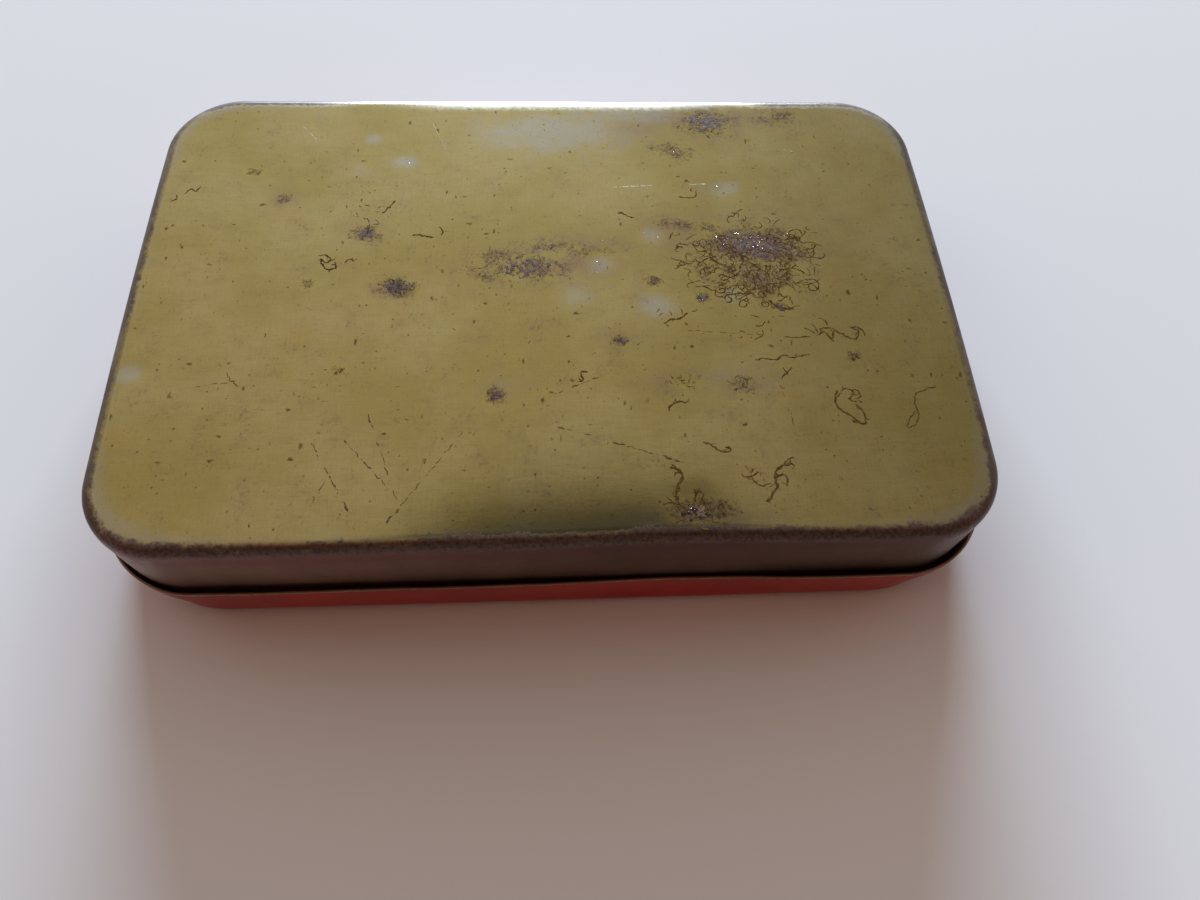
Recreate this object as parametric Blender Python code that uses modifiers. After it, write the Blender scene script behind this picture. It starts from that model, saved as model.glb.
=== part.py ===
"""A flat rectangular shoe polish tin with rounded corners, closed and lying upside down.

It stands on its lid, so the drawn tray is above and its plain bottom panel faces up.
The tray drops into the lid and lifts straight off it. Inside are the cake of polish,
which is cast into the tray, and a loose waxed-paper liner, which lies on the lid.

Frame: metres, +X along the tin's length, +Y from the front long side to the back one,
+Z up. The origin is where the lid's panel stands on the table, at the panel's centre.
"""

import math

import bmesh
import bpy

MM = 0.001

# Driving dimensions.
SHEET = 0.28 * MM  # tinplate of the tray and the lid
FIT_GAP = 0.30 * MM  # air between pieces that nearly touch

TRAY_LENGTH = 95.0 * MM
TRAY_WIDTH = 63.6 * MM
TRAY_CORNER = 8.7 * MM
TRAY_EDGE = 1.4 * MM  # round between the panel and the wall
TOTAL_HEIGHT = 14.8 * MM

LID_HEIGHT = 6.3 * MM
LID_EDGE = 1.5 * MM
LID_CORNER = 9.8 * MM
RIM_GAP = 0.72 * MM  # air between the tray's wall and the lid's skirt
MOUTH_LIFT = 0.90 * MM  # the tray's mouth stands this far above the lid's panel

SHORT_SIDE_BOW = 0.45 * MM  # how far the middle of each side stands out
LONG_SIDE_BOW = 0.12 * MM

BEAD_RADIUS = 0.26 * MM  # the tray's mouth is rolled outwards into a bead
BEAD_LIFT = 0.03 * MM

POLISH_DEPTH = 8.0 * MM
POLISH_EDGE = 1.3 * MM
HOLLOW_LENGTH = 66.0 * MM  # worn into the polish by use
HOLLOW_WIDTH = 40.0 * MM
HOLLOW_DEPTH = 2.6 * MM

LINER_THICKNESS = 0.15 * MM
LINER_MARGIN = 1.0 * MM  # the liner is cut this much smaller than the tray, all round

# Sizes that follow from them.
MOUTH_Z = SHEET + MOUTH_LIFT
TRAY_HEIGHT = TOTAL_HEIGHT - MOUTH_Z
LID_LENGTH = TRAY_LENGTH + 2 * (RIM_GAP + SHEET)
LID_WIDTH = TRAY_WIDTH + 2 * (RIM_GAP + SHEET)
INSIDE_LENGTH = TRAY_LENGTH - 2 * SHEET
INSIDE_WIDTH = TRAY_WIDTH - 2 * SHEET
INSIDE_CORNER = TRAY_CORNER - SHEET
POLISH_TOP_Z = TOTAL_HEIGHT - SHEET - FIT_GAP
POLISH_FACE_Z = POLISH_TOP_Z - POLISH_DEPTH
LINER_Z = SHEET + FIT_GAP

CORNER_STEPS = 14
SIDE_STEPS = 10
EDGE_STEPS = 4


def clear_scene():
    for obj in list(bpy.data.objects):
        bpy.data.objects.remove(obj)


def new_collection(name):
    collection = bpy.data.collections.new(name)
    bpy.context.scene.collection.children.link(collection)
    return collection


def material(name, colour, roughness, metallic):
    made = bpy.data.materials.new(name)
    made.use_nodes = True
    shader = made.node_tree.nodes["Principled BSDF"]
    shader.inputs["Base Color"].default_value = (*colour, 1.0)
    shader.inputs["Roughness"].default_value = roughness
    shader.inputs["Metallic"].default_value = metallic
    return made


def outline(length, width, corner):
    """Points anticlockwise round a rounded rectangle whose four sides bow outwards a little."""
    half_x = length / 2
    half_y = width / 2
    ring = []
    for quarter in range(4):
        side_x = 1 if quarter in (0, 3) else -1
        side_y = 1 if quarter in (0, 1) else -1
        centre_x = side_x * (half_x - corner)
        centre_y = side_y * (half_y - corner)
        for step in range(CORNER_STEPS + 1):
            angle = (quarter + step / CORNER_STEPS) * math.pi / 2
            ring.append((centre_x + corner * math.cos(angle), centre_y + corner * math.sin(angle)))
        next_x, next_y = [(-1, 1), (-1, -1), (1, -1), (1, 1)][quarter]
        along_x = quarter % 2 == 0
        start_x, start_y = ring[-1]
        end_x = next_x * (half_x - corner) if along_x else start_x
        end_y = start_y if along_x else next_y * (half_y - corner)
        for step in range(1, SIDE_STEPS):
            share = step / SIDE_STEPS
            ring.append((start_x + share * (end_x - start_x), start_y + share * (end_y - start_y)))
    return [
        (
            x + SHORT_SIDE_BOW * (1 - (y / half_y) ** 2) * x / half_x,
            y + LONG_SIDE_BOW * (1 - (x / half_x) ** 2) * y / half_y,
        )
        for x, y in ring
    ]


def new_object(name, data, collection, finish):
    obj = bpy.data.objects.new(name, data)
    obj.data.materials.append(finish)
    collection.objects.link(obj)
    return obj


def extruded_mesh(name, ring, height, open_end):
    """A prism from z = 0 to height, which may be negative. Its far end is left open if asked."""
    shape = bmesh.new()
    base = shape.faces.new([shape.verts.new((x, y, 0.0)) for x, y in ring])
    made = bmesh.ops.extrude_face_region(shape, geom=[base], use_keep_orig=True)["geom"]
    moved = [item for item in made if isinstance(item, bmesh.types.BMVert)]
    bmesh.ops.translate(shape, vec=(0.0, 0.0, height), verts=moved)
    if open_end:
        far_end = [item for item in made if isinstance(item, bmesh.types.BMFace)]
        bmesh.ops.delete(shape, geom=far_end, context="FACES_ONLY")
    bmesh.ops.recalc_face_normals(shape, faces=shape.faces)
    mesh = bpy.data.meshes.new(name)
    shape.to_mesh(mesh)
    shape.free()
    return mesh


def face_outwards(mesh, panel_up):
    """Turns an open shell's faces round, if need be, so that its panel faces the outside."""
    panel = max(mesh.polygons, key=lambda face: face.area)
    if (panel.normal.z > 0) != panel_up:
        mesh.flip_normals()


def round_edge(obj, radius):
    """Rounds the edge between the panel and the walls, and leaves the small angles of the walls."""
    bevel = obj.modifiers.new("rounded_edge", "BEVEL")
    bevel.width = radius
    bevel.segments = EDGE_STEPS
    bevel.limit_method = "ANGLE"
    bevel.angle_limit = math.radians(60)


def make_sheet_metal(obj):
    shell = obj.modifiers.new("tinplate", "SOLIDIFY")
    shell.thickness = SHEET
    shell.offset = -1.0
    shell.use_even_offset = True


def smooth(obj):
    obj.data.shade_smooth()
    obj.data.set_sharp_from_angle(angle=math.radians(40))


def drawn_shell(name, ring, height, edge, panel_up, collection, finish):
    """One piece of sheet drawn into a shallow pan: a flat panel, a rounded edge and a wall all round."""
    mesh = extruded_mesh(name, ring, height, open_end=True)
    face_outwards(mesh, panel_up)
    obj = new_object(name, mesh, collection, finish)
    smooth(obj)
    round_edge(obj, edge)
    make_sheet_metal(obj)
    return obj


def bead_tool(collection, finish):
    """The rolled bead round the tray's mouth, as a mesh for the tray's union."""
    stand_out = 2 * (RIM_GAP - FIT_GAP - BEAD_RADIUS)
    ring = outline(TRAY_LENGTH + stand_out, TRAY_WIDTH + stand_out, TRAY_CORNER + stand_out / 2)
    path = bpy.data.curves.new("bead_path", "CURVE")
    path.dimensions = "3D"
    path.bevel_depth = BEAD_RADIUS
    path.bevel_resolution = 2
    spline = path.splines.new("POLY")
    spline.points.add(len(ring) - 1)
    for point, (x, y) in zip(spline.points, ring):
        point.co = (x, y, 0.0, 1.0)
    spline.use_cyclic_u = True
    swept = new_object("bead_sweep", path, collection, finish)
    swept.location.z = MOUTH_Z + BEAD_RADIUS + BEAD_LIFT
    bpy.context.view_layer.update()
    evaluated = swept.evaluated_get(bpy.context.evaluated_depsgraph_get())
    bead = bpy.data.objects.new("bead_tool", bpy.data.meshes.new_from_object(evaluated))
    bead.matrix_world = swept.matrix_world
    collection.objects.link(bead)
    bpy.data.objects.remove(swept)
    return bead


def hollow_tool(collection):
    """The shallow bowl that a brush has worn into the polish."""
    mesh = bpy.data.meshes.new("hollow_tool")
    shape = bmesh.new()
    bmesh.ops.create_uvsphere(shape, u_segments=40, v_segments=20, radius=1.0)
    bmesh.ops.scale(shape, vec=(HOLLOW_LENGTH / 2, HOLLOW_WIDTH / 2, HOLLOW_DEPTH), verts=shape.verts)
    shape.to_mesh(mesh)
    shape.free()
    hollow = bpy.data.objects.new("hollow_tool", mesh)
    hollow.location.z = POLISH_FACE_Z
    collection.objects.link(hollow)
    return hollow


def combine(obj, tool, operation):
    boolean = obj.modifiers.new(tool.name, "BOOLEAN")
    boolean.operation = operation
    boolean.object = tool
    boolean.solver = "EXACT"
    tool.hide_render = True
    tool.display_type = "WIRE"


def build_lid(tin, enamel):
    ring = outline(LID_LENGTH, LID_WIDTH, LID_CORNER)
    return drawn_shell("lid", ring, LID_HEIGHT, LID_EDGE, False, tin, enamel)


def build_tray(tin, tools, lacquer):
    ring = outline(TRAY_LENGTH, TRAY_WIDTH, TRAY_CORNER)
    tray = drawn_shell("tray", ring, -TRAY_HEIGHT, TRAY_EDGE, True, tin, lacquer)
    tray.location.z = TOTAL_HEIGHT
    combine(tray, bead_tool(tools, lacquer), "UNION")
    return tray


def build_polish(tin, tools, wax):
    ring = outline(INSIDE_LENGTH - 2 * FIT_GAP, INSIDE_WIDTH - 2 * FIT_GAP, INSIDE_CORNER - FIT_GAP)
    mesh = extruded_mesh("polish_cake", ring, -POLISH_DEPTH, open_end=False)
    polish = new_object("polish_cake", mesh, tin, wax)
    polish.location.z = POLISH_TOP_Z
    smooth(polish)
    round_edge(polish, POLISH_EDGE)
    combine(polish, hollow_tool(tools), "DIFFERENCE")
    return polish


def build_liner(tin, paper):
    margin = 2 * LINER_MARGIN
    ring = outline(INSIDE_LENGTH - margin, INSIDE_WIDTH - margin, INSIDE_CORNER - LINER_MARGIN)
    sheet = bpy.data.curves.new("paper_liner", "CURVE")
    sheet.dimensions = "2D"
    sheet.fill_mode = "BOTH"
    sheet.extrude = LINER_THICKNESS / 2
    spline = sheet.splines.new("POLY")
    spline.points.add(len(ring) - 1)
    for point, (x, y) in zip(spline.points, ring):
        point.co = (x, y, 0.0, 1.0)
    spline.use_cyclic_u = True
    liner = new_object("paper_liner", sheet, tin, paper)
    liner.location.z = LINER_Z + LINER_THICKNESS / 2
    return liner


def main():
    clear_scene()
    tin = new_collection("shoe_polish_tin")
    tools = new_collection("tools")
    enamel = material("red_enamel", (0.36, 0.03, 0.02), 0.35, 0.0)
    lacquer = material("gold_lacquer", (0.42, 0.33, 0.12), 0.30, 0.8)
    wax = material("polish_wax", (0.05, 0.02, 0.012), 0.45, 0.0)
    paper = material("waxed_paper", (0.78, 0.72, 0.58), 0.60, 0.0)
    build_lid(tin, enamel)
    build_tray(tin, tools, lacquer)
    build_polish(tin, tools, wax)
    build_liner(tin, paper)


main()
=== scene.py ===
"""A worn flat shoe polish tin, closed and lying upside down on its lid: its looks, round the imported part.

Shapes are worked out in millimetres and written to the meshes in metres, in the part's own frame.
"""

import math
import random

import bpy
import numpy as np
from mathutils import Matrix, Vector, geometry, noise


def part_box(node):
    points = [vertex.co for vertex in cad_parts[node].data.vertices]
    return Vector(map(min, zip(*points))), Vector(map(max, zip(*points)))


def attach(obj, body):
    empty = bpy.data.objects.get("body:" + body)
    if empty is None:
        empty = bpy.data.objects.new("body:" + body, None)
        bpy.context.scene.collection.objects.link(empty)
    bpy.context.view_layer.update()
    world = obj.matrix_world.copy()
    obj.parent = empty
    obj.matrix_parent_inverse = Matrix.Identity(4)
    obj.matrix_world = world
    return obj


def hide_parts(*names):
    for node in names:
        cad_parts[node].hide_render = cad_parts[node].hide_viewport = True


MM = 0.001
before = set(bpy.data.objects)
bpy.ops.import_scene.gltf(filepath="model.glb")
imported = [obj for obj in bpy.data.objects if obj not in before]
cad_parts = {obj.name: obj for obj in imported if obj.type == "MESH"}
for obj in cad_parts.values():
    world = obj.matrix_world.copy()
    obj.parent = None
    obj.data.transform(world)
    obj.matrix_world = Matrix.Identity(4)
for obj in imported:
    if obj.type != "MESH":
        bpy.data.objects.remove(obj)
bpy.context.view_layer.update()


def box_mm(node):
    low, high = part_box(node)
    return np.array(low) / MM, np.array(high) / MM


LID_LOW, LID_HIGH = box_mm("lid")
TRAY_LOW, TRAY_HIGH = box_mm("tray")
CAKE_LOW, CAKE_HIGH = box_mm("polish_cake")
LINER_LOW, _ = box_mm("paper_liner")

# Shape of the drawn pieces, as in the part.
SHEET = 0.28
BOW_X, BOW_Y = 0.45, 0.12
LID_CORNER, LID_EDGE = 9.8, 1.5
TRAY_CORNER, TRAY_EDGE = 8.7, 1.4
RIM_GAP = 0.72
BEAD_RADIUS, BEAD_OUT, BEAD_LIFT = 0.26, 0.16, 0.29
BEAD_TURN = 118  # degrees, up and down from straight out
FIT_GAP = 0.30
CAKE_EDGE, HOLLOW_DEPTH = 1.3, 2.6
HOLLOW_HALF = (33.0, 20.0)
LINER_MARGIN, LINER_SHEET, LINER_CRUMPLE = 1.0, 0.06, 1.5

TOP = TRAY_HIGH[2]
MOUTH = TRAY_LOW[2]
RIM = LID_HIGH[2]
LID_HALF = LID_HIGH[:2] - (BOW_X, BOW_Y)
TRAY_HALF = LID_HALF - SHEET - RIM_GAP

CORNER_STEPS = 26
SIDE_STEPS = (132, 78)  # along the long sides, along the short sides
UNSEEN = -12.0  # the edge value of what the drawn edge's wear doesn't reach
CORNER_REACH = 16.0  # how far from a corner its wear and its tuck reach


# ---------------------------------------------------------------- shapes


def outline(half, corner, inset=0.0):
    """Points anticlockwise round the bowed, rounded rectangle, always as many and in the same places."""
    half = np.array(half) - inset
    corner = max(corner - inset, 0.02)
    ring = []
    for quarter, sign in enumerate(((1, 1), (-1, 1), (-1, -1), (1, -1))):
        centre = np.array(sign) * (half - corner)
        for step in range(CORNER_STEPS + 1):
            angle = (quarter + step / CORNER_STEPS) * math.pi / 2
            ring.append(centre + corner * np.array((math.cos(angle), math.sin(angle))))
        steps = SIDE_STEPS[quarter % 2]
        start = ring[-1]
        end = start.copy()
        end[quarter % 2] *= -1
        ring += [start + (end - start) * k / steps for k in range(1, steps)]
    ring = np.array(ring)
    x, y = ring[:, 0] / half[0], ring[:, 1] / half[1]
    ring[:, 0] += BOW_X * (1 - y**2) * x
    ring[:, 1] += BOW_Y * (1 - x**2) * y
    return ring


def inset_of(points, half, corner):
    """How far inside the outline each point is."""
    x, y = points[:, 0] / half[0], points[:, 1] / half[1]
    straight = points[:, :2] - np.stack((BOW_X * (1 - y**2) * x, BOW_Y * (1 - x**2) * y), 1)
    q = np.abs(straight) - (np.array(half) - corner)
    outside = np.hypot(*np.maximum(q, 0).T) + np.minimum(q.max(1), 0)
    return corner - outside


def corner_nearness(points, half):
    away = np.hypot(*(np.array(half) - np.abs(points[:, :2])).T)
    return np.clip(1 - away / CORNER_REACH, 0, 1)


def at_level(plan, z=0.0):
    """Points of the plan raised to the level z."""
    return np.column_stack((plan[:, :2], np.broadcast_to(z, len(plan))))


def fractal(points, size, octaves=4, seed=0.0):
    """Smooth noise, about -1 to 1, with features of about size millimetres."""
    offset = Vector((seed * 7.3, seed * 3.1, seed * 11.7))
    return np.array([noise.fractal(Vector(p) / size + offset, 1.0, 2.0, octaves) for p in points])


def smoothstep(value, low, high):
    t = np.clip((value - low) / (high - low), 0, 1)
    return t * t * (3 - 2 * t)


def add_object(name, data):
    made = bpy.data.objects.new(name, data)
    bpy.context.scene.collection.objects.link(made)
    return made


class Solid:
    """Vertices, faces and per-vertex values of one piece, in millimetres, and its outline if it is drawn."""

    def __init__(self, half=None, corner=0.0):
        self.half, self.corner = half, corner
        self.points = np.zeros((0, 3))
        self.faces = []
        self.slots = []
        self.edge = np.zeros(0)

    def add(self, points, edge=0.0):
        first = len(self.points)
        self.points = np.vstack((self.points, points))
        self.edge = np.concatenate((self.edge, np.broadcast_to(np.asarray(edge, float), len(points))))
        return np.arange(first, first + len(points))

    def face(self, numbers, slot=0):
        self.faces.append(tuple(numbers))
        self.slots.append(slot)

    def strip(self, ring_a, ring_b, slot=0):
        """Quads between two closed rings of vertex numbers."""
        for k, n in zip(range(len(ring_a)), [*range(1, len(ring_a)), 0]):
            self.face((ring_a[k], ring_b[k], ring_b[n], ring_a[n]), slot)

    def loft(self, profile, up):
        """Rings down a profile of (inset, z, edge value, slot), joined in order, their faces outward."""
        rings = []
        for inset, z, edge, _ in profile:
            rings.append(self.add(at_level(outline(self.half, self.corner, inset), z), edge))
        for above, below, (*_, slot) in zip(rings, rings[1:], profile[1:]):
            self.strip(*((above, below) if up else (below, above)), slot=slot)
        return rings

    def fill(self, ring, z, spacing, up, clear, slot=0):
        """Fills a closed ring of vertices with an even net of triangles, flat at z."""
        rim = self.points[ring][:, :2]
        low, high = rim.min(0), rim.max(0)
        rows = []
        for j, y in enumerate(np.arange(low[1], high[1], spacing * math.sqrt(3) / 2)):
            x = np.arange(low[0] + (j % 2) * spacing / 2, high[0], spacing)
            rows.append(np.stack((x, np.full_like(x, y)), 1))
        inside = np.concatenate(rows)
        inside = inside[inset_of(inside, self.half, self.corner) > clear]
        spots = [Vector(p) for p in np.vstack((rim, inside))]
        net = geometry.delaunay_2d_cdt(spots, [], [list(range(len(rim)))], 1, 1e-6)
        added = self.add(at_level(inside, z), inset_of(inside, self.half, self.corner))
        numbers = np.concatenate((ring, added))
        given = [numbers[ids[0]] for ids in net[3]]
        for triangle in net[2]:
            corners = [given[n] for n in triangle]
            self.face(corners if up else corners[::-1], slot)

    def build(self, name, materials, body, slot, nodes=(), values=None):
        mesh = bpy.data.meshes.new(name)
        mesh.from_pydata((self.points * MM).tolist(), [], [tuple(map(int, f)) for f in self.faces])
        for made in materials:
            mesh.materials.append(made)
        mesh.polygons.foreach_set("material_index", self.slots)
        for key, value in {"edge": self.edge, **(values or {})}.items():
            layer = mesh.attributes.new(key, "FLOAT", "POINT")
            layer.data.foreach_set("value", np.asarray(value, np.float32))
        mesh.validate()
        mesh.shade_smooth()
        obj = add_object(name, mesh)
        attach(obj, body)
        if nodes:
            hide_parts(*nodes)
        return obj


def arc_profile(radius, z_crease, towards_wall, offset=0.0, steps=9, slot=0):
    """The rounded edge between panel and wall. z_crease is the panel's level, towards_wall the way z goes."""
    found = []
    for k in range(steps + 1):
        angle = k / steps * math.pi / 2
        inset = offset + radius * (1 - math.sin(angle))
        z = z_crease + towards_wall * radius * (1 - math.cos(angle))
        found.append((inset, z, TRAY_EDGE * (1 - k / steps), slot))
    return found


def hidden_arc(*measures, steps, slot):
    """The same edge inside the piece, from the wall to the panel, out of reach of the wear."""
    return [(inset, z, UNSEEN, slot) for inset, z, _, _ in arc_profile(*measures, steps, slot)[-2::-1]]


# ---------------------------------------------------------------- materials


def wire(tree, socket, value):
    """Links an output to the socket, or sets the socket to a constant."""
    if isinstance(value, bpy.types.NodeSocket):
        tree.links.new(value, socket)
        return
    if hasattr(socket.default_value, "__len__") and len(socket.default_value) == 4 and len(value) == 3:
        value = (*value, 1.0)
    socket.default_value = value


def put(tree, kind, props=None, **sockets):
    """Adds a node. Each socket is named, with _ for a space, or numbered as i0, i1 and so on."""
    made = tree.nodes.new(kind)
    for key, value in (props or {}).items():
        setattr(made, key, value)
    for key, value in sockets.items():
        numbered = key[0] == "i" and key[1:].isdigit()
        wire(tree, made.inputs[int(key[1:]) if numbered else key.replace("_", " ")], value)
    return made


class Shader:
    """A procedural material. Its coordinates are the piece's own, in millimetres."""

    def __init__(self, name, metallic=0.0, roughness=0.5, **constants):
        self.material = bpy.data.materials.new(name)
        self.material.use_nodes = True
        self.tree = self.material.node_tree
        self.bsdf = self.tree.nodes["Principled BSDF"]
        self.set("Metallic", metallic)
        self.set("Roughness", roughness)
        for key, value in constants.items():
            self.set(key.replace("_", " ").title().replace("Ior", "IOR"), value)
        own = self.put("ShaderNodeTexCoord").outputs["Object"]
        own = self.put("ShaderNodeVectorMath", {"operation": "SCALE"}, Vector=own, Scale=1 / MM)
        self.place = own.outputs[0]

    def set(self, socket, value):
        wire(self.tree, self.bsdf.inputs[socket], value)

    def finish(self, **sockets):
        """Sets the sockets, named with _ for a space, and hands over the material."""
        for key, value in sockets.items():
            self.set(key.replace("_", " "), value)
        return self.material

    def put(self, kind, props=None, **sockets):
        return put(self.tree, kind, props, **sockets)

    def math(self, operation, *values):
        numbered = {f"i{n}": value for n, value in enumerate(values)}
        return self.put("ShaderNodeMath", {"operation": operation}, **numbered).outputs[0]

    def times(self, a, b):
        return self.math("MULTIPLY", a, b)

    def plus(self, a, b, share=1.0):
        """The first value and a share of the second."""
        return self.math("MULTIPLY_ADD", b, share, a)

    def most(self, first, *others):
        for other in others:
            first = self.math("MAXIMUM", first, other)
        return first

    def value(self, name):
        return self.put("ShaderNodeAttribute", {"attribute_name": name}).outputs["Fac"]

    def stretched(self, stretch, shift=(0.0, 0.0, 0.0), turn=0.0):
        spin = (0, 0, turn)
        made = self.put("ShaderNodeMapping", Vector=self.place, Scale=stretch, Location=shift, Rotation=spin)
        return made.outputs[0]

    def noise(self, size, detail=3.0, rough=0.55, bend=0.0, stretch=(1, 1, 1), shift=0.0, turn=0.0):
        """Noise, about 0 to 1, with features of about size millimetres."""
        where = self.stretched(stretch, (shift, shift * 0.7, shift * 1.3), turn)
        looks = {"Scale": 1.0 / size, "Detail": detail, "Roughness": rough, "Distortion": bend}
        return self.put("ShaderNodeTexNoise", Vector=where, **looks).outputs["Fac"]

    def step(self, value, low, high, out_low=0.0, out_high=1.0):
        ends = {"From_Min": low, "From_Max": high, "To_Min": out_low, "To_Max": out_high}
        smooth = {"interpolation_type": "SMOOTHSTEP"}
        return self.put("ShaderNodeMapRange", smooth, Value=value, **ends).outputs["Result"]

    def mix(self, share, a, b):
        return self.put("ShaderNodeMix", {"data_type": "RGBA"}, i0=share, i6=a, i7=b).outputs[2]

    def over(self, colour, *layers):
        """The colour under several layers, each a share and a tone."""
        for share, tone in layers:
            colour = self.mix(share, colour, tone)
        return colour

    def blend(self, share, a, b):
        return self.put("ShaderNodeMix", {"data_type": "FLOAT"}, i0=share, i2=a, i3=b).outputs[0]

    def specks(self, cell, radius, keep, shift=0.0, stretch=(1, 1, 1), turn=0.0):
        """Small ragged dots, one in some of the cells of a net: 1 in a dot, 0 outside."""
        where = self.stretched(stretch, (shift, shift, 0), turn)
        wobble = self.put("ShaderNodeTexNoise", Vector=where, Scale=0.9 / radius, Detail=3.0).outputs["Color"]
        push = {"operation": "MULTIPLY_ADD"}
        pushed = self.put("ShaderNodeVectorMath", push, i0=wobble, i1=(radius * 2.4,) * 3, i2=where)
        cells = self.put("ShaderNodeTexVoronoi", Vector=pushed.outputs[0], Scale=1.0 / cell)
        chance = self.put("ShaderNodeSeparateColor", Color=cells.outputs["Color"])
        size = self.times(chance.outputs["Green"], radius / cell)
        dot = self.step(self.math("DIVIDE", cells.outputs["Distance"], size), 1.2, 0.4)
        return self.times(dot, self.math("LESS_THAN", chance.outputs["Red"], keep))

    def veins(self, size, width, shift):
        """Thin winding lines, like a map's contours: 1 on a line, 0 off it."""
        away = self.math("ABSOLUTE", self.plus(self.noise(size, 3, 0.6, 0.8, shift=shift), -0.5))
        return self.step(away, width, width * 0.25)

    def bump(self, height, depth, below=None):
        made = self.put("ShaderNodeBump", Strength=1.0, Distance=depth * MM, Height=height)
        if below is not None:
            wire(self.tree, made.inputs["Normal"], below)
        return made.outputs["Normal"]


def scaled(colour, share):
    return tuple(c * share for c in colour)


def tray_lacquer():
    """Gold lacquer on tinplate: mottled, worn grey in places, rust stained, specked, with a corroded edge."""
    s = Shader("gold_lacquer_worn", coat_weight=0.1, coat_roughness=0.16, specular_ior_level=0.12)
    edge, stain, wear = s.value("edge"), s.value("stain"), s.value("wear")
    grain = s.noise(0.16, 2, stretch=(0.06, 1, 1))
    cross = s.noise(0.15, 2, stretch=(1, 0.07, 1), shift=19.0)
    smear = s.noise(0.9, 4, 0.6, stretch=(0.35, 1, 1), shift=27.0)
    cloud = s.noise(14.0, 3, shift=2.0)
    patch = s.noise(3.0, 5, 0.62, shift=9.0)
    fine = s.noise(0.38, 4, 0.65, shift=4.0)
    mixed = s.plus(s.plus(patch, fine), -1.0)

    # The lacquer: mottled, brushed both ways, worn to grey and specked.
    dots = s.most(
        s.specks(1.5, 0.24, 0.55, 0.0, (0.6, 1, 1)),
        s.specks(1.3, 0.22, 0.55, 17.0, (1, 0.5, 1), 0.5),
        s.specks(0.7, 0.15, 0.36, 29.0),
    )
    colour = s.over(
        s.mix(s.step(cloud, 0.35, 0.65), (0.385, 0.311, 0.110), (0.442, 0.367, 0.160)),
        (s.step(s.noise(6.0, 3, shift=31.0), 0.55, 0.75, 0, 0.28), (0.48, 0.31, 0.095)),
        (s.step(patch, 0.42, 0.70, 0, 0.18), (0.27, 0.215, 0.085)),
        (s.step(patch, 0.44, 0.28, 0, 0.20), (0.42, 0.38, 0.21)),
        (s.step(smear, 0.45, 0.70, 0, 0.15), (0.25, 0.20, 0.080)),
        (s.step(grain, 0.35, 0.65, 0, 0.12), (0.24, 0.19, 0.075)),
        (s.step(cross, 0.40, 0.66, 0, 0.12), (0.24, 0.19, 0.085)),
        (s.step(fine, 0.56, 0.74, 0, 0.34), (0.20, 0.155, 0.060)),
        (s.step(s.plus(s.value("worn"), mixed, 1.2), 0.25, 1.05, 0, 0.56), (0.43, 0.44, 0.41)),
        (s.times(dots, 0.85), (0.090, 0.062, 0.022)),
    )

    # Its rust: a brown haze, a yellow fringe and a halo, then the rust itself with veins round it.
    hazy = s.times(s.value("haze"), s.step(patch, 0.30, 0.60, 0.315, 0.9))
    fringe = s.times(s.step(stain, 0.03, 0.30), s.step(smear, 0.40, 0.60, 0, 0.40))
    halo = s.step(s.plus(stain, mixed, 1.9), 0.16, 0.95, 0, 0.66)
    rust = s.step(s.plus(stain, s.plus(fine, -0.5), 2.1), 0.56, 0.98)
    blotched = s.step(s.noise(0.5, 3, shift=3.0), 0.35, 0.65)
    near = s.step(s.plus(stain, mixed, 0.8), 0.20, 0.52, 0, 0.88)
    vein = s.times(s.most(s.veins(1.25, 0.030, 41.0), s.veins(0.80, 0.026, 47.0)), near)
    colour = s.over(
        colour,
        (hazy, (0.262, 0.180, 0.138)),
        (fringe, (0.42, 0.36, 0.075)),
        (halo, (0.205, 0.135, 0.105)),
        (s.times(rust, 0.85), s.mix(blotched, (0.055, 0.032, 0.022), (0.178, 0.110, 0.084))),
        (vein, (0.070, 0.042, 0.017)),
    )

    # The rounded edge: duller, bare near the corners, with a ragged corroded crease towards the wall.
    reach = s.step(s.noise(6.0, 4, 0.6, shift=23.0), 0.36, 0.66, -0.15, 0.45)
    reach = s.plus(s.plus(reach, s.value("front"), 0.45), wear, 0.35)
    rough_line = s.times(s.plus(s.noise(0.8, 5, 0.8, shift=7.0), -0.5), 1.9)
    rough_edge = s.plus(edge, rough_line)
    ragged = s.plus(rough_edge, reach, -1.0)
    turned = s.step(s.plus(edge, rough_line, 0.3), 1.60, 1.05)
    bare = s.times(s.step(s.plus(ragged, wear, -1.1), 2.3, 1.0), s.step(wear, 0.0, 0.8, 0.30, 0.75))
    crease = s.step(ragged, 1.20, 0.70)
    rusted = s.mix(s.step(fine, 0.35, 0.65), (0.060, 0.040, 0.038), (0.125, 0.088, 0.080))
    colour = s.over(
        colour,
        (s.times(turned, 0.80), (0.130, 0.100, 0.058)),
        (s.times(bare, s.step(fine, 0.40, 0.60, 0.30, 1.0)), (0.35, 0.335, 0.295)),
        (s.times(crease, 0.92), rusted),
        (s.times(s.times(turned, s.value("flank")), 0.8), (0.042, 0.027, 0.015)),
    )

    # The wall: brown, with a painted reddish reflection just under the edge, darker towards the right of the
    # front, rubbed bright at the corners.
    brown = s.noise(2.5, 4, stretch=(1, 1, 0.35), shift=12.0)
    streak = s.times(s.step(edge, -1.6, -0.3), s.step(s.plus(wear, rough_line), 0.55, 1.10, 0, 0.6))
    wall_tone = s.over(
        s.mix(brown, (0.185, 0.112, 0.082), (0.31, 0.205, 0.155)),
        # painted reflection: the reddish band at the top of the wall
        (s.step(edge, -2.2, -0.2, 0, 0.65), (0.210, 0.092, 0.098)),
        # darker towards the right of the front
        (s.times(s.value("darker_to_right"), 0.62), (0.060, 0.036, 0.027)),
        (streak, (0.46, 0.42, 0.35)),
    )
    wall = s.step(s.plus(edge, rough_line, 0.45), 0.65, 0.15)
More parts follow.
